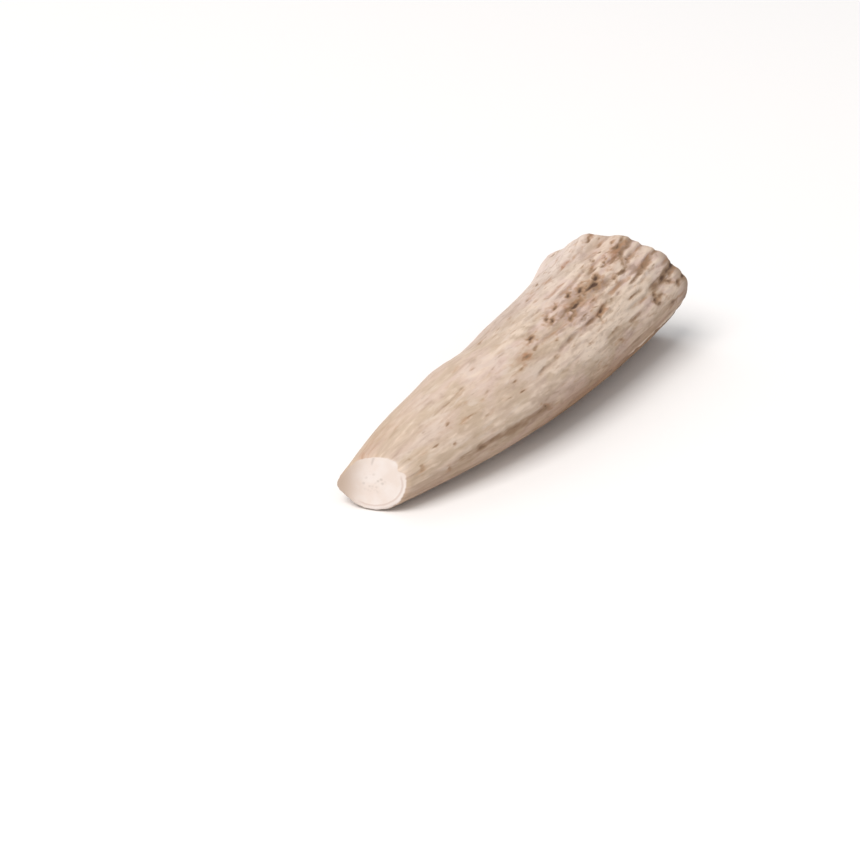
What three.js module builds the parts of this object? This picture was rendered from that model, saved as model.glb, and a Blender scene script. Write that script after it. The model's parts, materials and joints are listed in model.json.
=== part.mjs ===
// A sawn length of deer antler that lies on its flatter side.
// It grew as one piece: a blunt, tapering beam with a sawn face at each end.
// X runs from the small sawn end to the large one, Y goes across and Z is up.
// Round the beam, a turn of 0 degrees faces +Y, 90 is the top and 270 the underside.
import * as THREE from "three";

// Driving dimensions, in millimetres.
const LENGTH = 176; // along the axis, between the middles of the sawn faces
const SMALL_HALF_WIDTH = 11.3; // half the width at the small sawn end
const QUICK_SWELL = 9.3; // half-width gained by the swell just behind the small end
const EVEN_FLARE = 5.2; // half-width gained evenly from end to end
const BOW = 5.1; // how far the middle bows to -Y
const LEAN = 8; // how far the large end swings to +Y
const SMALL_RIM = 1.2; // radius of the softened edge round the small sawn face
const LARGE_RIM = 2.8; // radius of the worn edge round the large sawn face

// Proportions.
const SWELL_SHARE = 0.23; // share of the length over which the quick swell dies away
const HEIGHT_RATIO = 0.79; // height of the beam's section over its width
const CUT_REACH = 0.3; // share of the length over which a slanted cut is taken up
const SMALL_CUT = { across: -0.26, up: 0.24 }; // slope of the small sawn face
const LARGE_CUT = { across: -0.35, up: -0.17 }; // slope of the large sawn face

// Ridges (rise above 0) and hollows (below 0) that run along the beam.
// Each has its turn and half-spread in degrees, its rise in millimetres at its highest,
// and the shares of the length where it begins and where it is highest.
const RIDGES = [
  { turn: 13, spread: 8, rise: -1.2, begin: 0.8, full: 1 },
  { turn: 27, spread: 9, rise: 1.0, begin: 0.8, full: 0.96 }, // knob by the large rim
  { turn: 44, spread: 11, rise: -0.9, begin: 0.75, full: 1 },
  { turn: 69, spread: 8, rise: 1.5, begin: 0.78, full: 1 },
  { turn: 86, spread: 8, rise: -0.2, begin: 0.7, full: 1 },
  { turn: 100, spread: 7, rise: 1.0, begin: 0.7, full: 1 },
  { turn: 116, spread: 10, rise: -1.0, begin: 0.6, full: 1 },
  { turn: 151, spread: 10, rise: -0.5, begin: 0.6, full: 1 },
  { turn: 168, spread: 12, rise: 0.8, begin: 0.6, full: 1 },
  { turn: 206, spread: 14, rise: -1.0, begin: 0.75, full: 1 },
  { turn: 230, spread: 11, rise: 0.4, begin: 0.5, full: 1 },
  { turn: 250, spread: 10, rise: -0.6, begin: 0.6, full: 1 },
  { turn: 304, spread: 12, rise: -0.7, begin: 0.6, full: 1 },
  { turn: 330, spread: 13, rise: 0.6, begin: 0.5, full: 1 },
  { turn: 354, spread: 11, rise: -0.6, begin: 0.6, full: 1 },
];

// Low swellings and dips that die away both ways along the beam, highest at a share of its length.
const SWELLINGS = [
  { turn: 344, spread: 17, rise: 1.5, share: 0, reach: 0.1 }, // keel at the small sawn end
  { turn: 26, spread: 22, rise: -0.9, share: 0, reach: 0.1 }, // flat above the keel
  { turn: 38, spread: 30, rise: 0.9, share: 0.31, reach: 0.05 }, // shoulder
  { turn: 46, spread: 26, rise: -1.1, share: 0.43, reach: 0.08 }, // waist past the shoulder
  { turn: 28, spread: 26, rise: -0.2, share: 0.83, reach: 0.06 }, // neck before the knob
];

const SEGMENTS = 60; // facets round the beam
const BODY_ROWS = 44; // facets along the beam between the rims
const RIM_ROWS = 4; // facets across each rounded rim

// 0 below 0, 1 above 1, and a smooth S between.
function eased(value) {
  return THREE.MathUtils.smoothstep(value, 0, 1);
}

// A bell of height 1 at 0, close to 0 from 2 on.
function bell(value) {
  return Math.exp(-value * value);
}

// The turn from one direction to another, in degrees between -180 and 180.
function turnBetween(from, to) {
  return THREE.MathUtils.euclideanModulo(to - from + 180, 360) - 180;
}

// Half the beam's width: a quick swell that dies away, and an even flare.
function halfWidth(share) {
  const swell = QUICK_SWELL * (1 - Math.exp(-share / SWELL_SHARE));
  return SMALL_HALF_WIDTH + swell + EVEN_FLARE * share;
}

// How far the surface stands out from the plain oval, at a share of the length and a turn.
function relief(share, turn) {
  const ridges = RIDGES.reduce((sum, { turn: at, spread, rise, begin, full }) => {
    const along = eased((share - begin) / (full - begin));
    return sum + rise * along * bell(turnBetween(at, turn) / spread);
  }, 0);
  return SWELLINGS.reduce((sum, { turn: at, spread, rise, share: middle, reach }) => {
    const along = bell((share - middle) / reach);
    return sum + rise * along * bell(turnBetween(at, turn) / spread);
  }, ridges);
}

// The round blank's outline, from the middle of the small face to the middle of the large one,
// with each rim as a quarter circle taken off the corner.
function blankProfile() {
  const points = [new THREE.Vector2(0, 0)];
  const addPoint = (along, inset) => {
    points.push(new THREE.Vector2(halfWidth(along / LENGTH) - inset, along));
  };
  for (let row = 0; row <= RIM_ROWS; row += 1) {
    const angle = (row / RIM_ROWS) * (Math.PI / 2);
    addPoint(SMALL_RIM * (1 - Math.cos(angle)), SMALL_RIM * (1 - Math.sin(angle)));
  }
  const bodyLength = LENGTH - SMALL_RIM - LARGE_RIM;
  for (let row = 1; row < BODY_ROWS; row += 1) {
    addPoint(SMALL_RIM + (row / BODY_ROWS) * bodyLength, 0);
  }
  for (let row = 0; row <= RIM_ROWS; row += 1) {
    const angle = (row / RIM_ROWS) * (Math.PI / 2);
    addPoint(LENGTH - LARGE_RIM * (1 - Math.sin(angle)), LARGE_RIM * (1 - Math.cos(angle)));
  }
  points.push(new THREE.Vector2(0, LENGTH));
  return points;
}

// Moves a point of the round blank to its place on the antler: the relief is added,
// the section is flattened, the beam is bent, and its ends are slanted as they were sawn.
function carve(point) {
  const share = THREE.MathUtils.clamp(point.x / LENGTH, 0, 1);
  const turn = THREE.MathUtils.radToDeg(Math.atan2(point.z, point.y));
  const stretch = 1 + relief(share, turn) / halfWidth(share);
  const across = point.y * stretch;
  const up = point.z * stretch * HEIGHT_RATIO;
  const smallEnd = eased(1 - share / CUT_REACH);
  const largeEnd = eased(1 - (1 - share) / CUT_REACH);
  point.x += smallEnd * (SMALL_CUT.across * across + SMALL_CUT.up * up);
  point.x += largeEnd * (LARGE_CUT.across * across + LARGE_CUT.up * up);
  point.y = across + LEAN * share ** 2 - BOW * Math.sin(Math.PI * share);
  point.z = up + HEIGHT_RATIO * halfWidth(share);
  return point;
}

// The beam as one closed body, with its origin below the middle of its box.
function antlerGeometry() {
  const geometry = new THREE.LatheGeometry(blankProfile(), SEGMENTS);
  geometry.rotateZ(-Math.PI / 2);
  const position = geometry.getAttribute("position");
  const point = new THREE.Vector3();
  for (let i = 0; i < position.count; i += 1) {
    carve(point.fromBufferAttribute(position, i));
    position.setXYZ(i, point.x, point.y, point.z);
  }
  geometry.computeBoundingBox();
  const { min, max } = geometry.boundingBox;
  geometry.translate(-(min.x + max.x) / 2, -(min.y + max.y) / 2, -min.z);
  geometry.computeVertexNormals();
  return geometry;
}

const paleAntler = new THREE.MeshStandardMaterial({
  color: "#cdb49e",
  roughness: 0.7,
  metalness: 0,
});

const antler = new THREE.Mesh(antlerGeometry(), paleAntler);
antler.name = "antler";

const piece = new THREE.Group();
piece.add(antler);

export default piece;
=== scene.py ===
"""A sawn length of deer antler that lies on its flatter side on a pale floor.

Round the beam, a turn of 0 degrees faces +Y, 90 is the top and 270 the underside. A share is a
place along the beam, from 0 at the small sawn face to 1 at the large one. Lengths are in metres.
"""

import json
import math

import bpy
import numpy as np
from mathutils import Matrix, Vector


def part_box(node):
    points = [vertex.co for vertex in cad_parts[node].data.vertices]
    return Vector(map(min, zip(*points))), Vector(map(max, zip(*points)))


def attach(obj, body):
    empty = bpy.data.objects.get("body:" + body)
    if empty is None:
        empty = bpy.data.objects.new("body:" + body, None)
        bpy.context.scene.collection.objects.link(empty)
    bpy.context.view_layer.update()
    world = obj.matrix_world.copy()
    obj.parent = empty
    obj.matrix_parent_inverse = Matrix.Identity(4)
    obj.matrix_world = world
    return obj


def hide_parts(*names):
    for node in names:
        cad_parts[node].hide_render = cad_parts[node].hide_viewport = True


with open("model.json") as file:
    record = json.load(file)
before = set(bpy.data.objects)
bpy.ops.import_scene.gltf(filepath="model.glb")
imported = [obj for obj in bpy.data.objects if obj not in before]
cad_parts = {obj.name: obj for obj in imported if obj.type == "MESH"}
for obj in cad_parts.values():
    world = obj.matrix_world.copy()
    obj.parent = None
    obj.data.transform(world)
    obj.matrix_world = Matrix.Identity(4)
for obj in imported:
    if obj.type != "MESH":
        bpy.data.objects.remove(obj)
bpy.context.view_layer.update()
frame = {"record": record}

MM = 0.001
FULL_TURN = 360

# ---------------------------------------------------------------------------------------------
# Sizes, from the frame where it holds them.
# ---------------------------------------------------------------------------------------------

SAWN_FACES = {mount["name"]: mount for mount in frame["record"]["mounts"]}
SMALL_MIDDLE = np.array(SAWN_FACES["small_sawn_face"]["pos_m"])
SMALL_OUTWARD = np.array(SAWN_FACES["small_sawn_face"]["axis"])
LARGE_MIDDLE = np.array(SAWN_FACES["large_sawn_face"]["pos_m"])
LARGE_OUTWARD = np.array(SAWN_FACES["large_sawn_face"]["axis"])

LENGTH = LARGE_MIDDLE[0] - SMALL_MIDDLE[0]
LEAN = LARGE_MIDDLE[1] - SMALL_MIDDLE[1]  # how far the large end swings to +Y
HEIGHT_RATIO = 0.79  # height of the beam's section over its width
SMALL_HALF_WIDTH = SMALL_MIDDLE[2] / HEIGHT_RATIO
LARGE_HALF_WIDTH = LARGE_MIDDLE[2] / HEIGHT_RATIO
QUICK_SWELL = 9.3 * MM  # half-width gained by the swell just behind the small end
SWELL_SHARE = 0.23  # share of the length over which that swell dies away
BOW = 5.1 * MM  # how far the middle bows to -Y
SMALL_RIM = 1.2 * MM  # radius of the softened edge round the small sawn face
LARGE_RIM = 2.8 * MM  # radius of the worn edge round the large sawn face
CUT_REACH = 0.3  # share of the length over which a slanted cut is taken up
SMALL_CUT = -SMALL_OUTWARD[1:] / SMALL_OUTWARD[0]  # slope of the small face across and up
LARGE_CUT = -LARGE_OUTWARD[1:] / LARGE_OUTWARD[0]  # slope of the large face across and up
CRACK_TURN = 83  # where the hairline crack meets the rim of the small face
CRACK_LEAN = 20  # degrees that the crack would lean over on its way to the middle
CRACK_HALF_WIDTH = 2.6  # degrees
PORE_SQUARE = 60 * MM  # side of the square that the lattices of the large face's pores cover
PORE_DEPTH = 0.8 * MM
PATTERN_RADIUS = 20 * MM  # on the straight beam, radii are drawn half-way towards this one

# Broad ridges (rise above 0) and hollows along the beam: turn and half-spread in degrees,
# rise in millimetres, and the shares where each begins and is highest.
RIDGES = [
    (13, 8, -1.2, 0.80, 1),
    (27, 9, 1.0, 0.80, 0.96),
    (44, 11, -0.9, 0.75, 1),
    (69, 8, 1.5, 0.78, 1),
    (86, 8, -0.2, 0.70, 1),
    (100, 7, 1.0, 0.70, 1),
    (116, 10, -1.0, 0.60, 1),
    (151, 10, -0.5, 0.60, 1),
    (168, 12, 0.8, 0.60, 1),
    (206, 14, -1.0, 0.75, 1),
    (230, 11, 0.4, 0.50, 1),
    (250, 10, -0.6, 0.60, 1),
    (304, 12, -0.7, 0.60, 1),
    (330, 13, 0.6, 0.50, 1),
    (354, 11, -0.6, 0.60, 1),
]

# Low swellings and dips: turn and half-spread in degrees, rise in millimetres,
# the share where each is highest and its half-length as a share.
SWELLINGS = [
    (344, 17, 1.5, 0, 0.10),
    (26, 22, -0.9, 0, 0.10),
    (38, 30, 0.9, 0.31, 0.05),
    (46, 26, -1.1, 0.43, 0.08),
    (28, 26, -0.2, 0.83, 0.06),
]

# Grooves along the beam: half-width in degrees, depth in millimetres, darkness from 0 to 1,
# and the (share, turn) points that each follows. One with a depth below 0 is a swell.
GROOVES = [
    # the long soft gutter low on the near side
    (5.6, 0.40, 0.37, [
        (0.09, 179), (0.17, 181.5), (0.22, 181), (0.28, 182.5), (0.34, 183), (0.43, 182),
    ]),
    # the wavy groove over the shoulder of the beam
    (2.2, 0.34, 0.22, [
        (0.37, 144.5), (0.40, 141.5), (0.45, 139.5), (0.50, 136.5), (0.55, 134), (0.60, 134),
    ]),
    (2.1, 0.40, 0.25, [(0.57, 134), (0.62, 133), (0.66, 134), (0.71, 131), (0.80, 130.5)]),
    # the pale swells below it
    (6.0, -0.22, 0.00, [(0.40, 150), (0.46, 147), (0.55, 143.5), (0.64, 142.5), (0.72, 141.5)]),
    (7.0, -0.20, 0.00, [(0.18, 162), (0.28, 163), (0.42, 163)]),
    # a faint line along the top of the small half
    (1.4, 0.10, 0.18, [(0.10, 109), (0.15, 106), (0.20, 105), (0.26, 102)]),
    # the deep one that breaks the large rim, and what leads to it
    (4.2, 0.36, 0.32, [(0.83, 152), (0.90, 150), (0.95, 149), (1.0, 147)]),
    (3.2, 0.28, 0.50, [(0.89, 150), (0.93, 150), (0.95, 148.5), (1.0, 146)]),
    (2.5, 0.40, 0.58, [(0.93, 166), (0.96, 163), (1.0, 161)]),
    # long grooves on the top of the large half
    (2.2, 0.45, 0.36, [(0.82, 107.5), (0.86, 106.5), (0.91, 107.5), (0.95, 106), (1.0, 105)]),
    (1.8, 0.35, 0.32, [(0.90, 102), (0.94, 100), (1.0, 98.5)]),
    (2.6, 0.30, 0.29, [(0.72, 118.5), (0.77, 119), (0.82, 119.5), (0.88, 116.5), (1.0, 116)]),
    (2.0, 0.40, 0.34, [(0.79, 132), (0.85, 132), (0.90, 130), (0.94, 129), (1.0, 127)]),
    (1.9, 0.20, 0.20, [(0.76, 142), (0.80, 141.5), (0.85, 141)]),
    (1.9, 0.18, 0.18, [(0.62, 157), (0.66, 156), (0.71, 155)]),
    (1.7, 0.18, 0.24, [(0.73, 160), (0.77, 160.5), (0.80, 160)]),
    (1.3, 0.30, 0.45, [(0.93, 76), (0.96, 74.5), (1.0, 73)]),
    (1.6, 0.25, 0.35, [(0.75, 98), (0.79, 98), (0.84, 101)]),
    # the hollow that runs just below the raised crease
    (2.6, 0.75, 0.60, [(0.72, 202), (0.855, 200.5), (0.92, 197.5), (1.0, 192.5)]),
    # grooves of the far side and the underside
    (1.8, 0.40, 0.34, [(0.80, 20), (0.88, 19), (0.95, 20.5), (1.0, 19)]),
    (2.4, 0.35, 0.28, [(0.66, 352), (0.76, 350), (0.86, 353), (1.0, 351)]),
    (1.6, 0.35, 0.34, [(0.45, 322), (0.53, 319), (0.60, 320.5), (0.68, 317)]),
    (2.2, 0.40, 0.32, [(0.78, 303), (0.88, 306), (1.0, 304)]),
    (1.7, 0.30, 0.32, [(0.55, 284), (0.64, 281), (0.72, 283)]),
    (2.6, 0.40, 0.30, [(0.82, 262), (0.91, 259), (1.0, 260)]),
    (1.7, 0.30, 0.32, [(0.60, 236), (0.68, 239), (0.78, 237)]),
    (1.9, 0.35, 0.34, [(0.86, 222), (0.93, 224), (1.0, 222)]),
    (1.4, 0.25, 0.30, [(0.34, 8), (0.42, 5), (0.50, 7)]),
]

# A pale raised crease low on the near side of the large end: the (share, turn) points it follows.
CREASE = [(0.72, 197.5), (0.855, 195.5), (0.92, 192.5), (0.97, 188.5), (0.99, 187)]

# Pits and dark flecks: share, turn, half-length as a share, half-width in degrees,
# slant in degrees over the half-length, depth in millimetres, darkness from 0 to 1.
# The last one has a depth below 0: it is a brown bump on the large rim.
PITS = [
    (0.463, 107.5, 0.011, 1.9, -1.0, 0.55, 0.95),
    (0.446, 118.3, 0.010, 1.6, -0.5, 0.25, 0.50),
    (0.408, 120.0, 0.012, 2.0, 0.0, 0.20, 0.62),
    (0.335, 146.8, 0.009, 1.1, 0.0, 0.15, 0.45),
    (0.333, 133.0, 0.010, 1.0, -0.8, 0.12, 0.40),
    (0.371, 126.5, 0.010, 1.3, -0.5, 0.10, 0.35),
    (0.386, 179.5, 0.008, 2.4, 3.0, 0.35, 0.85),
    (0.552, 107.8, 0.009, 1.9, -1.0, 0.45, 0.80),
    (0.549, 101.6, 0.012, 1.6, -1.6, 0.40, 0.75),
    (0.596, 99.5, 0.011, 1.4, -0.8, 0.40, 0.75),
    (0.597, 117.4, 0.014, 1.5, -1.6, 0.30, 0.60),
    (0.585, 110.5, 0.020, 1.3, -0.6, 0.30, 0.50),
    (0.620, 109.3, 0.014, 1.2, 0.0, 0.30, 0.45),
    (0.641, 111.2, 0.024, 2.0, -0.4, 0.70, 1.00),
    (0.662, 98.8, 0.013, 1.7, -2.0, 0.50, 0.80),
    (0.697, 103.3, 0.014, 1.9, -1.2, 0.50, 1.00),
    (0.722, 108.2, 0.016, 1.6, 0.4, 0.55, 0.75),
    (0.747, 108.8, 0.017, 2.7, 0.0, 0.80, 1.00),
    (0.768, 106.0, 0.011, 2.2, -1.0, 0.60, 0.90),
    (0.661, 135.0, 0.009, 2.0, -2.0, 0.45, 0.70),
    (0.679, 132.0, 0.012, 1.6, -1.4, 0.60, 0.90),
    (0.632, 124.6, 0.018, 1.1, 0.0, 0.20, 0.45),
    (0.690, 119.0, 0.016, 1.3, -0.6, 0.20, 0.40),
    (0.853, 161.0, 0.008, 2.4, 0.0, 0.60, 0.85),
    (0.856, 166.0, 0.006, 1.6, 0.0, 0.30, 0.60),
    (0.876, 160.5, 0.010, 1.4, 0.0, 0.30, 0.60),
    (0.859, 156.0, 0.007, 1.8, 0.0, 0.35, 0.65),
    (0.926, 155.5, 0.010, 2.2, 2.0, 0.45, 0.60),
    (0.909, 107.4, 0.012, 1.8, 0.0, 0.35, 0.60),
    (0.906, 129.6, 0.012, 1.5, -1.2, 0.40, 0.65),
    (0.911, 177.6, 0.016, 2.2, 0.6, 0.25, 0.65),
    (0.690, 168.8, 0.008, 1.3, 1.4, 0.25, 0.50),
    (0.829, 171.0, 0.009, 1.2, 1.0, 0.15, 0.30),
    (0.840, 101.6, 0.008, 1.2, 0.0, 0.25, 0.40),
    (0.562, 89.5, 0.010, 1.0, 0.0, 0.12, 0.28),
    (0.492, 92.5, 0.008, 0.9, 0.0, 0.10, 0.30),
    (0.620, 65.5, 0.014, 1.8, -2.6, 0.15, 0.35),
    (0.709, 57.0, 0.012, 2.0, -1.5, 0.15, 0.35),
    (0.475, 69.5, 0.010, 1.4, -1.5, 0.12, 0.30),
    (0.530, 68.5, 0.014, 1.6, -2.5, 0.15, 0.30),
    (0.415, 64.5, 0.012, 2.0, -3.0, 0.15, 0.32),
    (0.232, 102.6, 0.012, 1.2, -0.5, 0.08, 0.25),
    (0.131, 127.3, 0.008, 2.0, -0.8, 0.08, 0.42),
    (0.078, 141.3, 0.012, 1.8, 0.0, 0.08, 0.32),
    (0.107, 140.3, 0.004, 1.6, 0.0, 0.05, 0.26),
    (0.115, 153.3, 0.005, 2.0, 0.0, 0.08, 0.42),
    (0.021, 133.8, 0.003, 2.0, 0.0, 0.08, 0.35),
    (0.032, 158.0, 0.004, 6.0, 0.0, 0.10, 0.40),
    (0.096, 186.0, 0.005, 3.5, 3.0, 0.12, 0.35),
    (0.183, 134.8, 0.022, 1.9, 0.5, 0.08, 0.30),
    (0.083, 115.0, 0.007, 3.0, 0.0, 0.06, 0.26),
    (0.182, 117.0, 0.024, 1.5, 0.0, 0.05, 0.20),
    (0.236, 116.5, 0.013, 1.4, 0.0, 0.05, 0.18),
    (0.270, 123.5, 0.022, 2.2, -3.0, 0.08, 0.26),
    (0.222, 146.3, 0.011, 1.6, 0.0, 0.05, 0.24),
    (0.295, 145.0, 0.018, 1.2, 0.0, 0.05, 0.20),
    (0.302, 92.5, 0.018, 1.4, 0.0, 0.05, 0.20),
    (0.325, 107.5, 0.022, 1.2, -2.0, 0.05, 0.18),
    (0.370, 101.0, 0.018, 1.4, 0.0, 0.05, 0.20),
    (0.176, 176.5, 0.010, 2.4, -1.0, 0.12, 0.30),
    (0.790, 98.5, 0.012, 1.6, -1.0, 0.30, 0.45),
    (0.765, 160.5, 0.010, 1.2, -0.5, 0.20, 0.45),
    (0.790, 141.5, 0.010, 1.2, 0.0, 0.20, 0.45),
    (0.930, 86.0, 0.012, 1.6, -1.0, 0.20, 0.40),
    (0.962, 36.0, 0.012, 2.0, 0.0, 0.20, 0.40),
    (0.982, 73.0, 0.012, 1.8, 0.0, -0.90, 0.45),
]

# Random smaller pits: seed, count, and the lowest and highest of the share, the turn,
# the half-length as a share, the half-width in degrees, the depth and the darkness.
PIT_FIELDS = [
    (5, 18, (0.50, 0.78), (94, 128), (0.005, 0.010), (0.7, 1.3), (0.08, 0.25), (0.20, 0.50)),
    (6, 18, (0.55, 0.98), (40, 190), (0.006, 0.014), (0.7, 1.3), (0.06, 0.20), (0.15, 0.35)),
    (7, 60, (0.35, 0.98), (205, 400), (0.005, 0.014), (0.7, 1.9), (0.10, 0.50), (0.25, 0.75)),
    (8, 26, (0.03, 0.60), (30, 200), (0.004, 0.012), (0.7, 1.3), (0.03, 0.08), (0.08, 0.24)),
    (9, 32, (0.03, 0.60), (200, 390), (0.004, 0.012), (0.6, 1.2), (0.03, 0.10), (0.10, 0.30)),
    (10, 18, (0.78, 0.95), (88, 121), (0.006, 0.014), (0.8, 1.5), (0.15, 0.35), (0.30, 0.60)),
]

# Orange-brown stains: share, turn, half-length as a share, half-width in degrees, strength.
STAINS = [
    (0.405, 119.5, 0.022, 4.5, 0.70),
    (0.822, 69.5, 0.024, 2.6, 0.95),
    (0.720, 66.0, 0.022, 5.0, 0.25),
    (0.680, 133.0, 0.026, 3.0, 0.45),
    (0.640, 105.0, 0.050, 5.5, 0.30),
    (0.690, 119.0, 0.024, 3.0, 0.35),
    (0.880, 103.0, 0.075, 8.0, 0.40),
    (0.980, 73.0, 0.014, 1.8, 0.80),
    (0.920, 96.0, 0.070, 24.0, 0.22),
    (0.020, 62.0, 0.060, 14.0, 0.30),
]

# How far the outside runs in over the rim of the small face: turn and half-spread in degrees,
# reach in millimetres, added to the reach that it has all the way round.
SMALL_FACE_REACH = 0.1
SMALL_FACE_LIPS = [
    (68, 38, 0.8),
    (139, 8, 1.5),
    (185, 34, 0.9),
]

# Lattices of random heights: cells along the beam, cells round it, and the seed.
CORDS = (7, 54, 11)
RIBS = (10, 88, 21)
RIBBONS = (13, 134, 61)
LUMPS = (34, 70, 51)
THREADS = (44, 160, 31)
DASHES = (22, 84, 41)
GROOVE_SWAY = (40, 40, 71)
GROOVE_BREAKS = (60, 60, 73)
PIT_OUTLINES = (130, 150, 83)
STAIN_OUTLINES = (70, 90, 91)
LARGE_LIP = (4, 40, 101)
PORE_CELLS = (54, 54, 111)
PORE_PATCHES = (9, 9, 112)

ROUND_COUNT = 300  # points round the beam
CROWDED_TURN = 125  # the turn where they are closest together
TURN_CROWDING = 22  # degrees that they are moved towards it, at the most
BODY_ROWS = 262  # rows of points along the beam between the rims
ROW_CROWDING = 0.075  # share of the beam that they are moved towards its large end, at the most
SMALL_RIM_ROWS = 6
LARGE_RIM_ROWS = 8
SMALL_FACE_ROWS = 12
LARGE_FACE_ROWS = 38


# ---------------------------------------------------------------------------------------------
# Shape of the beam
# ---------------------------------------------------------------------------------------------


def eased(value):
    """0 below 0, 1 above 1, and between them 3 v squared less 2 v cubed."""
    value = np.clip(value, 0, 1)
    return value * value * (3 - 2 * value)


def bell(value):
    """e to the power of minus v squared: 1 at 0, close to 0 from 2 on."""
    return np.exp(-value * value)


def turn_gap(turn, middle):
    """How far each turn is past the middle, in degrees between -180 and 180."""
    return (turn - middle + FULL_TURN / 2) % FULL_TURN - FULL_TURN / 2


def half_width(share):
    """Half the beam's width: a swell that dies away as e to minus share over SWELL_SHARE, and
    an even flare that makes up the rest of the large end's half-width."""
    swell = QUICK_SWELL * (1 - np.exp(-share / SWELL_SHARE))
    whole_swell = QUICK_SWELL * (1 - math.exp(-1 / SWELL_SHARE))
    even_flare = LARGE_HALF_WIDTH - SMALL_HALF_WIDTH - whole_swell
    return SMALL_HALF_WIDTH + swell + even_flare * share


def broad_relief(share, turn):
    """Height above the plain oval: each ridge is a bell round its turn that rises along the
    beam, and each swelling a bell both ways."""
    relief = np.zeros(np.broadcast(share, turn).shape)
    for middle, spread, rise, begin, full in RIDGES:
        along = eased((share - begin) / (full - begin))
        relief += rise * MM * along * bell(turn_gap(turn, middle) / spread)
    for middle, spread, rise, at_share, reach in SWELLINGS:
        along = bell((share - at_share) / reach)
        relief += rise * MM * along * bell(turn_gap(turn, middle) / spread)
    return relief


def lattice_noise(share, turn, cells_along, cells_round, seed):
    """Smooth random heights from -1 to 1: random values at the corners of a lattice that closes
    round the beam, blended between the corners by eased steps."""
    table = np.random.default_rng(seed).uniform(-1, 1, (cells_along + 3, cells_round))
    row = np.clip(share, -0.02, 1.02) * cells_along + 1
    column = turn / FULL_TURN * cells_round
    row_below = np.floor(row).astype(int)
    column_below = np.floor(column).astype(int)
    row_step = eased(row - row_below)
    column_step = eased(column - column_below)
    left = column_below % cells_round
    right = (column_below + 1) % cells_round
    row_above = np.minimum(row_below + 1, cells_along + 2)
    near = table[row_below, left] * (1 - column_step) + table[row_below, right] * column_step
    far = table[row_above, left] * (1 - column_step) + table[row_above, right] * column_step
    return near * (1 - row_step) + far * row_step


def grain_noise(share, turn, cells_along, cells_round, seed, sway=3.0):
    """Lattice noise whose lines sway from side to side along the beam, and whose rows are
    staggered, as the grain of antler is."""
    swayed = turn + sway * lattice_noise(share, turn, 9, 12, seed + 1)
    staggered = share + 0.7 / cells_along * lattice_noise(share, turn, 5, cells_round // 2, seed + 2)
    return lattice_noise(staggered, swayed, cells_along, cells_round, seed)


def roughness_zone(share, turn):
    """How strongly the grain shows, from 0 to 1: faint at the small end and growing towards the
    large one, most of all on the near side of the top, and nearly as much on the underside."""
    along = eased((share - 0.30) / 0.55)
    top = bell(turn_gap(turn, 115) / 42)
    under = 0.6 * bell(turn_gap(turn, 300) / 60)
    return np.clip(0.14 + along * (0.20 + 0.76 * top + under), 0, 1)


def groove_lines(share, turn, half_spread, points):
    """About 1 along the line through the points, falling as a bell to each side of it and
    fading in and out at its ends. Lattice noise makes the line sway and its strength uneven.
    A line that reaches the large rim runs off it."""
    shares, turns = zip(*points)
    sway = 0.9 * lattice_noise(share, turn, *GROOVE_SWAY)
    broken = 1 + 0.6 * lattice_noise(share, turn, *GROOVE_BREAKS)
    middle = np.interp(share, shares, turns) + sway
    fade = min(0.3 * (shares[-1] - shares[0]), 0.05)
    begun = eased((share - shares[0]) / fade)
    ended = 1.0 if shares[-1] >= 1 else eased((shares[-1] - share) / fade)
    return begun * ended * broken * bell(turn_gap(turn, middle) / half_spread)


def scattered_pits():
    """The random pits, each with its values drawn evenly between the lowest and the highest."""
    pits = []
    for seed, count, *spans in PIT_FIELDS:
        low, high = np.array(spans).T
        at_share, at_turn, half_length, half_spread, depth, darkness = (
            np.random.default_rng(seed).uniform(low, high, (count, len(spans))).T
        )
        slant = np.linspace(-1.5, 1.5, count)
        pits += zip(at_share, at_turn, half_length, half_spread, slant, depth, darkness)
    return pits


def fine_relief(share, turn):
    """Height of everything finer than the broad ridges, then how dark, how brown and how rough
    each place is, and how much of the raised crease it holds. Cords, ribs, ribbons and lumps of
    the grain grow with the roughness zone and die down by the large rim; dashes are cut into
    them, and each groove along its line. A pit is a ragged oval: with r the distance from its
    middle over that of its outline, it is e to minus r squared deep, with a brown surround."""
    rough = roughness_zone(share, turn)
    cords = grain_noise(share, turn, *CORDS)
    ribs = grain_noise(share, turn, *RIBS)
    ribbons = grain_noise(share, turn, *RIBBONS)
    lumps = grain_noise(share, turn, *LUMPS)
    threads = grain_noise(share, turn, *THREADS)
    dashes = eased((grain_noise(share, turn, *DASHES, sway=4.0) - 0.16) / 0.7)
    rim_calm = 1 - 0.4 * eased((share - 0.94) / 0.06)
    crease = groove_lines(share, turn, 1.5, CREASE)
    rough_here = MM * rough * rim_calm
    height = rough_here * (0.35 * cords + 0.43 * ribs + 0.28 * ribbons + 0.10 * lumps)
    height += MM * (0.04 * ribs + 0.03 * threads + 0.5 * crease)
    height -= MM * (0.04 + 0.11 * rough) * dashes
    dark = (0.06 + 0.12 * rough) * dashes
    brown = 0.65 * rough * np.clip(-0.6 * ribs - 0.6 * ribbons, 0, 1)
    for half_spread, depth, darkness, points in GROOVES:
        line = groove_lines(share, turn, half_spread, points)
        height -= depth * MM * line
        dark += darkness * line
    ragged = 1 + 0.42 * lattice_noise(share, turn, *PIT_OUTLINES)
    for at_share, at_turn, half_length, half_spread, slant, depth, darkness in PITS + scattered_pits():
        along = (share - at_share) / half_length
        around = (turn_gap(turn, at_turn) - slant * along) / half_spread
        radius = np.hypot(along, around) * ragged
        height -= depth * MM * bell(radius)
        dark = np.maximum(dark, darkness * bell(radius))
        brown = np.maximum(brown, 0.8 * darkness * bell(radius / 2.3))
    return height, np.clip(dark - crease, 0, 1), brown, rough, crease


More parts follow.
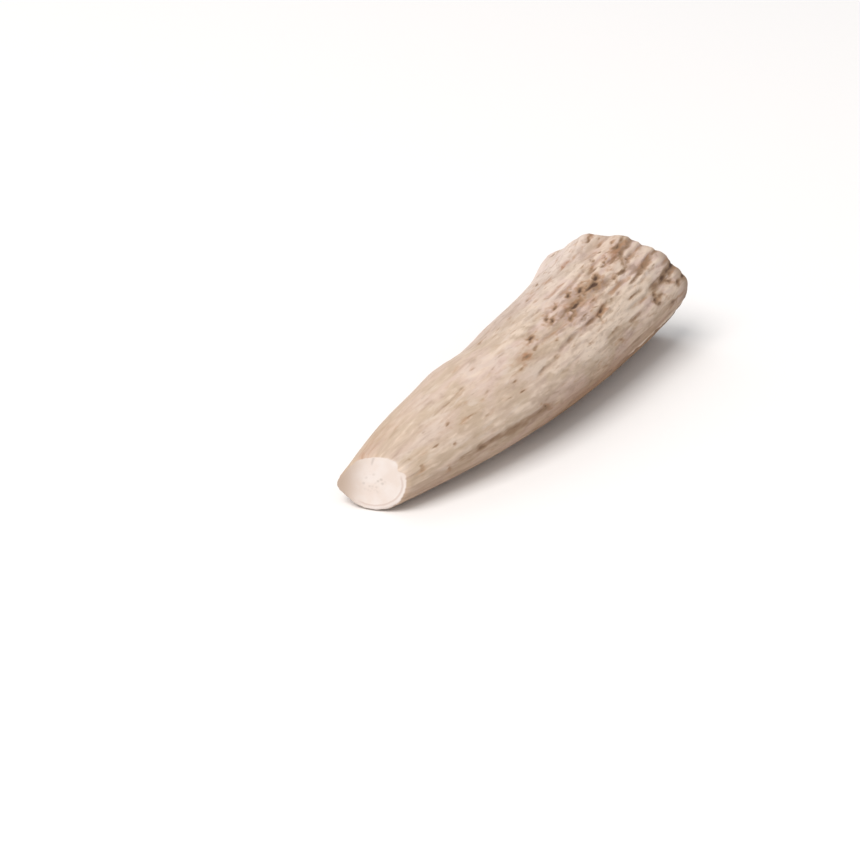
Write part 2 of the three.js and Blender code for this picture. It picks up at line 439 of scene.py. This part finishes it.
def stain_strength(share, turn):
    """Strength of the orange-brown stains, each a ragged bell both ways."""
    strength = np.zeros(np.broadcast(share, turn).shape)
    ragged = 1 + 0.5 * lattice_noise(share, turn, *STAIN_OUTLINES)
    for at_share, at_turn, half_length, half_spread, amount in STAINS:
        along = (share - at_share) / half_length
        around = turn_gap(turn, at_turn) / half_spread
        strength = np.maximum(strength, amount * bell(np.hypot(along, around) * ragged))
    return strength


def row_stations():
    """For each row of points: its share, how far its rim rounding takes it in, and its share of
    the radius, which grows from 0 to 1 over the small face and falls back over the large one.
    Body rows draw together towards the large end by a sine of their place along the beam."""
    quarter = math.pi / 2
    small = np.linspace(0, quarter, SMALL_RIM_ROWS)
    large = np.linspace(0, quarter, LARGE_RIM_ROWS)
    spread = np.linspace(0, 1, BODY_ROWS)
    closer = spread + ROW_CROWDING * np.sin(math.pi * spread)
    body = SMALL_RIM + closer * (LENGTH - SMALL_RIM - LARGE_RIM)
    along = np.concatenate([
        np.zeros(SMALL_FACE_ROWS),
        SMALL_RIM * (1 - np.cos(small)),
        body[1:-1],
        LENGTH - LARGE_RIM * (1 - np.sin(large)),
        np.full(LARGE_FACE_ROWS, LENGTH),
    ])
    inset = np.concatenate([
        np.full(SMALL_FACE_ROWS, SMALL_RIM),
        SMALL_RIM * (1 - np.sin(small)),
        np.zeros(BODY_ROWS - 2),
        LARGE_RIM * (1 - np.cos(large)),
        np.full(LARGE_FACE_ROWS, LARGE_RIM),
    ])
    fraction = np.concatenate([
        np.arange(1, SMALL_FACE_ROWS + 1) / (SMALL_FACE_ROWS + 1),
        np.ones(SMALL_RIM_ROWS + BODY_ROWS - 2 + LARGE_RIM_ROWS),
        np.arange(LARGE_FACE_ROWS, 0, -1) / (LARGE_FACE_ROWS + 1),
    ])
    return along[:, None] / LENGTH, inset[:, None], fraction[:, None]


def column_turns():
    """Turns round the beam: even ones, moved by a sine of how far past the crowded turn they
    are, so that they are closer together on the top and the near side."""
    even = np.arange(ROUND_COUNT) / ROUND_COUNT * FULL_TURN
    crowded = even - TURN_CROWDING * np.sin(np.radians(even - CROWDED_TURN))
    return crowded[None, :] % FULL_TURN


def large_face_pores(across, up, fraction):
    """Depth of the larger pores in the large face's spongy middle, from 0 to 1: hollows where a
    fine square lattice noise is high, more of them where a coarse one is."""
    along = across / PORE_SQUARE + 0.5
    around = (up / PORE_SQUARE + 0.5) * FULL_TURN
    cells = lattice_noise(along, around, *PORE_CELLS)
    patchy = lattice_noise(along, around, *PORE_PATCHES)
    return eased((cells + 0.3 * patchy - 0.30) / 0.4) * eased((0.74 - fraction) / 0.25)


def peeled(share, turn, inset, fraction):
    """How far each point is inside the line where the outside ends and sawn bone begins, less
    how far it is from the rims' rounding along the beam. On the small face that line lies
    further in at each lip; on the large one it waves a little."""
    inward = inset + (1 - fraction) * (half_width(share) - inset)
    from_small = np.maximum(share * LENGTH - SMALL_RIM, 0)
    from_large = np.maximum((1 - share) * LENGTH - LARGE_RIM, 0)
    lips = (rise * bell(turn_gap(turn, middle) / spread) for middle, spread, rise in SMALL_FACE_LIPS)
    small = sum(lips, SMALL_FACE_REACH)
    large = 1.9 + 0.5 * lattice_noise(share, turn, *LARGE_LIP)
    outside = np.where(share < 0.5, small, large) * MM
    return inward - outside - np.minimum(from_small, from_large)


def carve(share, turn, inset, fraction):
    """The points of the antler, and the facts that the finish needs to know about each of them.
    A round blank of the beam's half-width gets its relief, is flattened, bent and slanted at
    its ends, and is then fitted to the CAD node's box. The fact low, the strength of the painted
    shade on the underside, grows from 0 above the beam's middle height to 1 below it, except on
    the raised crease."""
    height, dark, brown, rough, crease = fine_relief(share, turn)
    edge_share = fraction**6
    stretch = 1 + (broad_relief(share, turn) + height * edge_share) / half_width(share)
    radius = (half_width(share) - inset) * fraction * stretch
    across = radius * np.cos(np.radians(turn))
    up = radius * np.sin(np.radians(turn)) * HEIGHT_RATIO
    pores = large_face_pores(across, up, fraction) * (share >= 1)
    small_end = eased(1 - share / CUT_REACH)
    large_end = eased(1 - (1 - share) / CUT_REACH)
    x = share * LENGTH - PORE_DEPTH * pores
    x = x + small_end * (SMALL_CUT[0] * across + SMALL_CUT[1] * up)
    x = x + large_end * (LARGE_CUT[0] * across + LARGE_CUT[1] * up)
    y = across + LEAN * share**2 - BOW * np.sin(math.pi * share)
    z = up + HEIGHT_RATIO * half_width(share)
    points = np.stack(np.broadcast_arrays(x, y, z), axis=-1)
    crack_turn = CRACK_TURN - CRACK_LEAN * (1 - fraction)
    crack = bell(turn_gap(turn, crack_turn) / CRACK_HALF_WIDTH) * eased((fraction - 0.68) / 0.12)
    below = eased((0.45 - np.sin(np.radians(turn))) / 0.9)
    facts = {
        "peel": peeled(share, turn, inset, fraction),
        "crack": crack * (share <= 0),
        "dark": dark,
        "brown": brown,
        "crest": height / MM,
        "rough": rough,
        "stain": stain_strength(share, turn),
        "pore": pores,
        "fraction": fraction,
        "share": share,
        # low: how much painted shade darkens this point, lifted on the raised crease
        "low": below * (1 - 0.8 * np.clip(crease, 0, 1)),
        "across": across,
        "up": up,
    }
    every_point = points.shape[:2]
    return points, {name: np.broadcast_to(values, every_point) for name, values in facts.items()}


def pole(points, facts, row):
    """One point in the middle of the ring of points that row names, with its mean facts."""
    middle = points[row].mean(axis=0)
    return middle, {name: values[row].mean() for name, values in facts.items()}


def grid_faces(rows, columns):
    """Quads between neighbouring rows, closed round the columns, and a fan of triangles to the
    pole before the first row and to the one after the last, all of them facing outwards."""
    index = np.arange(rows * columns).reshape(rows, columns)
    after = np.roll(index, -1, axis=1)
    quads = np.stack([index[:-1], after[:-1], after[1:], index[1:]], axis=-1).reshape(-1, 4)
    first_pole = np.full(columns, rows * columns)
    last_pole = first_pole + 1
    start_fan = np.stack([first_pole, after[0], index[0]], axis=-1)
    end_fan = np.stack([last_pole, index[-1], after[-1]], axis=-1)
    return quads, np.concatenate([start_fan, end_fan])


def mesh_from(name, points, quads, triangles):
    """A mesh of these points, quads and triangles, written as whole arrays."""
    mesh = bpy.data.meshes.new(name)
    corners = np.concatenate([quads.ravel(), triangles.ravel()])
    sizes = np.concatenate([np.full(len(quads), 4), np.full(len(triangles), 3)])
    mesh.vertices.add(len(points))
    mesh.vertices.foreach_set("co", points.astype(np.float32).ravel())
    mesh.loops.add(len(corners))
    mesh.loops.foreach_set("vertex_index", corners.astype(np.int32))
    mesh.polygons.add(len(sizes))
    mesh.polygons.foreach_set("loop_start", (np.cumsum(sizes) - sizes).astype(np.int32))
    mesh.polygons.foreach_set("use_smooth", np.ones(len(sizes), bool))
    mesh.update(calc_edges=True)
    mesh.validate()
    return mesh


def add_fact(mesh, name, values, kind="FLOAT"):
    """Stores one number or vector per point under a name that materials can read."""
    attribute = mesh.attributes.new(name, kind, "POINT")
    field = "value" if kind == "FLOAT" else "vector"
    attribute.data.foreach_set(field, np.asarray(values, np.float32).ravel())


def fit_to_box(points, low, high):
    """Stretches the points evenly along each axis so that they just fill the box."""
    own_low = points.min(axis=0)
    own_high = points.max(axis=0)
    return low + (points - own_low) * (high - low) / (own_high - own_low)


def make_antler():
    """The antler's whole skin as one closed mesh. Besides its facts, each point stores where it
    is on the beam pulled straight and round, which the patterns of the finish follow."""
    share, inset, fraction = row_stations()
    turn = column_turns()
    points, facts = carve(share, turn, inset, fraction)
    rows, columns = points.shape[:2]
    ends = [pole(points, facts, 0), pole(points, facts, -1)]
    points = np.concatenate([points.reshape(-1, 3), [middle for middle, _ in ends]])
    low, high = (np.array(corner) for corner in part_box("antler"))
    points = fit_to_box(points, low, high)
    mesh = mesh_from("antler_skin", points, *grid_faces(rows, columns))
    for name, values in facts.items():
        add_fact(mesh, name, np.append(values, [end[name] for _, end in ends]))
    straight_radius = 0.5 * (PATTERN_RADIUS + half_width(share)) * fraction
    straight = np.stack(np.broadcast_arrays(
        share * LENGTH,
        straight_radius * np.cos(np.radians(turn)),
        straight_radius * np.sin(np.radians(turn)),
    ), axis=-1).reshape(-1, 3)
    straight = np.concatenate([straight, [[0, 0, 0], [LENGTH, 0, 0]]])
    add_fact(mesh, "straight", straight, "FLOAT_VECTOR")
    skin = bpy.data.objects.new("antler_skin", mesh)
    bpy.context.scene.collection.objects.link(skin)
    return skin


# ---------------------------------------------------------------------------------------------
# Finishes
# ---------------------------------------------------------------------------------------------


SURFACE_GRAIN = 0.06 * MM  # height of the finest grain, which only shades the surface


def colour(code):
    """Linear red, green, blue and alpha from a hex code such as "d8c0ac"."""
    channels = [int(code[i:i + 2], 16) / 255 for i in (0, 2, 4)]
    linear = [c / 12.92 if c <= 0.04045 else ((c + 0.055) / 1.055) ** 2.4 for c in channels]
    return (*linear, 1)


class Wire:
    """An output socket of a finish. Arithmetic on it adds Math nodes."""

    def __init__(self, finish, socket):
        self.finish = finish
        self.socket = socket

    def math(self, operation, first, second):
        """The two of them put through one Math node."""
        return self.finish.node("ShaderNodeMath", {"operation": operation}, {0: first, 1: second})

    def __add__(self, other):
        return self.math("ADD", self, other)

    def __radd__(self, other):
        return self.math("ADD", other, self)

    def __sub__(self, other):
        return self.math("SUBTRACT", self, other)

    def __rsub__(self, other):
        return self.math("SUBTRACT", other, self)

    def __mul__(self, other):
        return self.math("MULTIPLY", self, other)

    def __rmul__(self, other):
        return self.math("MULTIPLY", other, self)

    def clamped(self):
        """The same number, kept between 0 and 1."""
        return self.finish.node("ShaderNodeClamp", {}, {"Value": self})


class Finish:
    """A material whose nodes are added by name, with values or wires on their sockets."""

    def __init__(self, name):
        self.material = bpy.data.materials.new(name)
        self.material.use_nodes = True
        self.tree = self.material.node_tree
        self.tree.nodes.clear()

    def node(self, kind, settings, inputs, output=0):
        """One node of this kind. Its settings come first, then each input's value or wire."""
        made = self.tree.nodes.new(kind)
        for key, setting in settings.items():
            setattr(made, key, setting)
        for key, value in inputs.items():
            socket = made.inputs[key]
            if isinstance(value, Wire):
                self.tree.links.new(value.socket, socket)
            else:
                socket.default_value = value
        return Wire(self, made.outputs[output]) if made.outputs else None

    def fact(self, name):
        """A number that the mesh stores at each point."""
        return self.node("ShaderNodeAttribute", {"attribute_name": name}, {}, "Fac")

    def place(self):
        """Where each point is on the beam pulled straight."""
        return self.node("ShaderNodeAttribute", {"attribute_name": "straight"}, {}, "Vector")

    def stretched(self, vector, scale):
        """The vector with each of its axes scaled by its own amount."""
        settings = {"operation": "MULTIPLY"}
        return self.node("ShaderNodeVectorMath", settings, {0: vector, 1: scale})

    def noise(self, vector, scale, detail=3.0, roughness=0.6, distortion=0.0):
        """Noise from 0 to 1."""
        inputs = {
            "Vector": vector,
            "Scale": scale,
            "Detail": detail,
            "Roughness": roughness,
            "Distortion": distortion,
        }
        return self.node("ShaderNodeTexNoise", {}, inputs)

    def grain(self, vector, along, scale, detail=3.0, distortion=0.5):
        """Noise from 0 to 1 whose spots are 1 over along times as long as they are wide."""
        return self.noise(self.stretched(vector, (along, 1, 1)), scale, detail, 0.5, distortion)

    def band(self, value, low, high):
        """0 where the value is under low, 1 over high, and smooth between."""
        settings = {"interpolation_type": "SMOOTHSTEP"}
        inputs = {"Value": value, "From Min": low, "From Max": high}
        return self.node("ShaderNodeMapRange", settings, inputs)

    def mix(self, first, second, factor, blend="MIX"):
        """The first colour turned into the second by the factor."""
        settings = {"data_type": "RGBA", "blend_type": blend, "clamp_factor": True}
        return self.node("ShaderNodeMix", settings, {0: factor, 6: first, 7: second}, 2)

    def layered(self, tone, layers):
        """The tone turned into each layer's colour in turn, by that layer's factor."""
        for layer, factor in layers:
            tone = self.mix(tone, layer, factor)
        return tone

    def bump(self, height, distance):
        """A normal tilted by the slope of the height, which is in units of the distance."""
        return self.node("ShaderNodeBump", {}, {"Distance": distance, "Height": height})

    def surface(self, inputs):
        """Ends the material in a Principled shader with these inputs."""
        shader = self.node("ShaderNodeBsdfPrincipled", {}, inputs)
        self.node("ShaderNodeOutputMaterial", {}, {"Surface": shader})
        return self.material


def weathered_bone(finish):
    """Colour, roughness and height of the outside. Pale beige is turned to other tones by drawn
    out noises and by place: light on its crests, brown in its valleys and round its pits, long
    grey-brown flecks, orange stains, painted light and shade on the far side, painted shade
    low down, and dark in grooves and pits."""
    straight = finish.place()
    flecks = finish.grain(straight, 0.28, 900, 2.0, 0.3)
    threads = finish.grain(straight, 0.24, 620)
    mottle = finish.grain(straight, 0.42, 360, 2.0)
    streaks = finish.grain(straight, 0.30, 220, distortion=0.8)
    hues = finish.grain(straight, 0.42, 120, distortion=0.4)
    clouds = finish.grain(straight, 0.5, 50, 2.0, 0.0)
    share = finish.fact("share")
    across = finish.fact("across")
    dark = finish.fact("dark")

    patchy = finish.band(clouds, 0.42, 0.60)
    calm = 0.4 + 0.6 * finish.band(share, 0.3, 0.6)
    raggedness = 0.5 + 0.3 * calm + 0.2 * finish.fact("rough")
    ragged = raggedness * (1.3 * (mottle - 0.5) + 0.6 * calm * (flecks - 0.5))
    level = finish.fact("crest") + ragged
    valley = finish.mix(colour("a68d77"), colour("a3897b"), finish.band(hues, 0.60, 0.42))
    # mask of the far side, which carries a greyer tone and also painted light and painted shade
    far_side_tone_light_and_shade = finish.band(across, -0.003, 0.014)
    middle_part = finish.band(share, 0.35, 0.50) * finish.band(share, 0.85, 0.65)
    near_rim = finish.band(share, 0.94, 0.99) * finish.band(across, -0.012, -0.020)
    pit_brown = finish.fact("brown") + ragged + 0.9 * (threads - 0.5)
    torn_stain = finish.band(0.5 * mottle + 0.5 * flecks, 0.40, 0.60)
    tone = finish.layered(colour("d8c1b6"), [
        # greener patches, and a duller small half
        (colour("ccb8a3"), finish.band(hues, 0.42, 0.58) * 0.85),
        (colour("c3b09c"), finish.band(share, 0.50, 0.0) * 0.5),
        (colour("c2ad97"), finish.band(clouds, 0.45, 0.64) * 0.55),
        # light streaks and brown ones
        (colour("dccdc1"), finish.band(streaks, 0.49, 0.34) * 0.5),
        (colour("b29c88"), finish.band(streaks, 0.51, 0.66) * (0.36 + 0.06 * calm)),
        # light crests, brown valleys, and the bottoms of the deepest
        (colour("e5d2c1"), finish.band(level, -0.03, 0.32) * 0.85),
        (valley, finish.band(level, -0.05, -0.36) * 0.6),
        (colour("7d6452"), finish.band(level, -0.34, -0.80) * 0.6),
        # the far side: greyer half-way along, paler at the large end as a painted highlight, darker
        # brown at the small one as painted shade
        (colour("c8b5aa"), far_side_tone_light_and_shade * middle_part * 0.45),
        (colour("e6d8d1"), far_side_tone_light_and_shade * finish.band(share, 0.5, 0.8) * 0.5),
        (colour("c6ae98"), far_side_tone_light_and_shade * finish.band(share, 0.5, 0.2) * 0.5),
        # the near side of the large rim
        (colour("967f6b"), near_rim * 0.75),
        # long thin flecks, most of them in patches
        (colour("9c8672"), finish.band(threads, 0.52, 0.72) * calm * (0.10 + 0.24 * patchy)),
        (colour("8b7766"), finish.band(flecks, 0.56, 0.72) * calm * (0.08 + 0.20 * patchy)),
        # brown round the pits and in the grain, and the stains
        (colour("aa7f59"), finish.band(pit_brown, 0.07, 0.60) * 0.6),
        (colour("a0673f"), finish.fact("stain") * (0.5 + 0.8 * torn_stain)),
    ])
    # painted shade: the underside is darkened and browned by a multiply, less of it towards the small
    # end
    painted_underside_shade = finish.fact("low") * (0.56 + 0.42 * finish.band(share, 0.25, 0.55))
    tone = finish.mix(tone, colour("b0977a"), painted_underside_shade, "MULTIPLY")
    torn = dark + finish.band(dark, 0.02, 0.25) * 0.8 * (flecks - 0.5)
    tone = finish.layered(tone, [
        (colour("967a61"), finish.band(torn, 0.04, 0.50)),
        (colour("5c4436"), finish.band(torn, 0.36, 0.90)),
    ])
    height = 0.6 * threads * calm + 0.6 * mottle + 0.15 * flecks * calm
    return tone, 0.62 + 0.2 * dark, height


def small_face_bone(finish, section, across, up):
    """Colour and height of the small sawn face: solid ivory, darker on its far side with painted
    shade, with a faint ring inside the lower right of its rim, a few grey pores at its middle
    and a hairline crack at its top."""
    cells = {"Vector": finish.stretched(section, (0.8, 1, 1)), "Scale": 820}
    spacing = finish.node("ShaderNodeTexVoronoi", {}, cells)
    clouds = finish.noise(section, 160, 3.0, 0.5)
    fraction = finish.fact("fraction")
    pores = finish.band(spacing, 0.56, 0.14) * finish.band(finish.noise(section, 420), 0.34, 0.58)
    pores = pores * finish.band(fraction, 0.52, 0.20)
    ring = finish.band(fraction, 0.86, 0.90) * finish.band(fraction, 0.97, 0.92)
    low_right = finish.band(-0.7 * across - 0.9 * up, 0.002, 0.004)
    tone = finish.layered(colour("e1d8d3"), [
        (colour("dccfc7"), finish.band(clouds, 0.35, 0.65)),
        # painted shade over the far side of the face
        (colour("ad9887"), finish.band(across, 0.001, 0.012) * 0.9),
        (colour("cdbcb3"), ring * low_right * 0.8),
        (colour("b9ada5"), pores * 0.65),
        (colour("a99c95"), finish.fact("crack") * 0.45),
    ])
    return tone, 0.3 - 0.3 * pores


def large_face_bone(finish, section):
    """Colour and height of the large sawn face: a pale compact ring, a grey line inside it,
    and a pale spongy middle with grey pores and an ochre patch."""
    clouds = finish.noise(section, 190, 3.0, 0.55)
    patches = finish.noise(section, 85, 2.0, 0.5)
    specks = finish.noise(section, 1000, 1.0, 0.5)
    fraction = finish.fact("fraction")
    spongy = finish.band(fraction, 0.80, 0.40) * (0.35 + 0.65 * finish.band(clouds, 0.42, 0.58))
    ring = finish.mix(colour("ebe0d6"), colour("e0d0c6"), finish.band(clouds, 0.4, 0.6))
    ragged = fraction + 0.05 * (clouds - 0.5)
    line = finish.band(ragged, 0.78, 0.85) * finish.band(ragged, 0.94, 0.87)
    tone = finish.layered(colour("e2d6cb"), [
        (colour("cabdb1"), finish.band(clouds, 0.40, 0.62)),
        (colour("b3935f"), finish.band(patches, 0.56, 0.70) * 0.6),
        (colour("8b7969"), finish.band(specks, 0.52, 0.66) * spongy * 0.8),
        (colour("705c4b"), finish.fact("pore") * 0.8),
        (ring, finish.band(ragged, 0.83, 0.88)),
        (colour("a79c95"), line * 0.32),
    ])
    return tone, 0.6 * specks + 0.4 * clouds


def antler_finish():
    """The whole antler's material: its outside, turning to the bone of each sawn face where
    the peel, with a little noise on it, passes 0."""
    finish = Finish("antler_bone")
    across = finish.fact("across")
    up = finish.fact("up")
    section = finish.node("ShaderNodeCombineXYZ", {}, {"X": across, "Y": up})
    tone, roughness, height = weathered_bone(finish)
    small_tone, small_height = small_face_bone(finish, section, across, up)
    large_tone, large_height = large_face_bone(finish, section)
    share = finish.fact("share")
    edge = finish.fact("peel") + 0.0003 * (finish.noise(finish.place(), 500, 3.0) - 0.5)
    bare = finish.band(edge, -0.0002, 0.0003)
    small_face = bare * finish.band(share, 0.6, 0.4)
    large_face = bare * finish.band(share, 0.4, 0.6)
    tone = finish.layered(tone, [(small_tone, small_face), (large_tone, large_face)])
    relief = height * (1 - small_face - large_face).clamped()
    relief = relief + 0.2 * small_face * small_height + 0.8 * large_face * large_height
    return finish.surface({
        "Base Color": tone,
        "Roughness": roughness,
        "Specular IOR Level": 0.35,
        "Normal": finish.bump(relief, SURFACE_GRAIN),
    })


# ---------------------------------------------------------------------------------------------
# Floor, light and camera
# ---------------------------------------------------------------------------------------------

VIEW_AZIMUTH = math.radians(-57.44)
VIEW_ELEVATION = math.radians(24.18)
VIEW_DISTANCE = 0.8
VIEW_AIM = Vector((-0.0721, -0.0132, 0.0232))
LENS = 103.8  # focal length in millimetres

FLOOR_HALF_WIDTH = 4.0

# Soft square panels: name, azimuth and elevation in degrees, distance and width, watts, tint.
PANELS = [
    ("key_panel", -98, 54, 4.0, 2.6, 126, "fff9f4"),
    ("fill_panel", -50, 30, 2.6, 2.0, 5, "fff6ec"),
    ("far_panel", 150, 38, 4.0, 2.6, 22, "ffffff"),
]
LIGHT_AIM = Vector((0, 0, 0.02))
ROOM_STRENGTH = 0.45


def view_direction(azimuth, elevation):
    """From the antler towards a viewer: azimuth 0 is at -Y, and 90 degrees at +X."""
    level = math.cos(elevation)
    return Vector((math.sin(azimuth) * level, -math.cos(azimuth) * level, math.sin(elevation)))


def point_at(thing, place, aim):
    """Puts a camera or light at the place and turns it to the aim."""
    thing.location = place
    thing.rotation_euler = (aim - place).to_track_quat("-Z", "Y").to_euler()


def make_camera():
    """The view from above the near side of the small end."""
    data = bpy.data.cameras.new("view")
    data.lens = LENS
    data.clip_start = 0.01
    camera = bpy.data.objects.new("view", data)
    bpy.context.scene.collection.objects.link(camera)
    place = VIEW_AIM + VIEW_DISTANCE * view_direction(VIEW_AZIMUTH, VIEW_ELEVATION)
    point_at(camera, place, VIEW_AIM)
    bpy.context.scene.camera = camera


def make_floor():
    """A plain pale floor, far wider than the view."""
    half = FLOOR_HALF_WIDTH
    points = np.array([[-half, -half, 0], [half, -half, 0], [half, half, 0], [-half, half, 0]])
    mesh = mesh_from("floor", points, np.array([[0, 1, 2, 3]]), np.zeros((0, 3), int))
    floor = bpy.data.objects.new("floor", mesh)
    bpy.context.scene.collection.objects.link(floor)
    finish = Finish("pale_floor")
    mesh.materials.append(finish.surface({"Base Color": colour("fcfcfd"), "Roughness": 0.9}))


def add_panel(name, azimuth, elevation, distance, width, power, tint):
    """A square soft light that points at the antler from this direction."""
    data = bpy.data.lights.new(name, "AREA")
    data.size = width
    data.energy = power
    data.color = colour(tint)[:3]
    light = bpy.data.objects.new(name, data)
    bpy.context.scene.collection.objects.link(light)
    direction = view_direction(math.radians(azimuth), math.radians(elevation))
    point_at(light, LIGHT_AIM + distance * direction, LIGHT_AIM)


def make_light():
    """Soft studio light: a large panel up on the small end's side, two much weaker ones on the
    near and the far side, and a pale room."""
    for panel in PANELS:
        add_panel(*panel)
    world = bpy.data.worlds.new("pale_room")
    bpy.context.scene.world = world
    world.use_nodes = True
    backdrop = world.node_tree.nodes["Background"]
    backdrop.inputs["Color"].default_value = colour("ffffff")
    backdrop.inputs["Strength"].default_value = ROOM_STRENGTH
    bpy.context.scene.view_settings.view_transform = "Standard"


make_camera()
make_floor()
make_light()
antler = make_antler()
antler.data.materials.append(antler_finish())
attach(antler, "root")
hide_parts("antler")
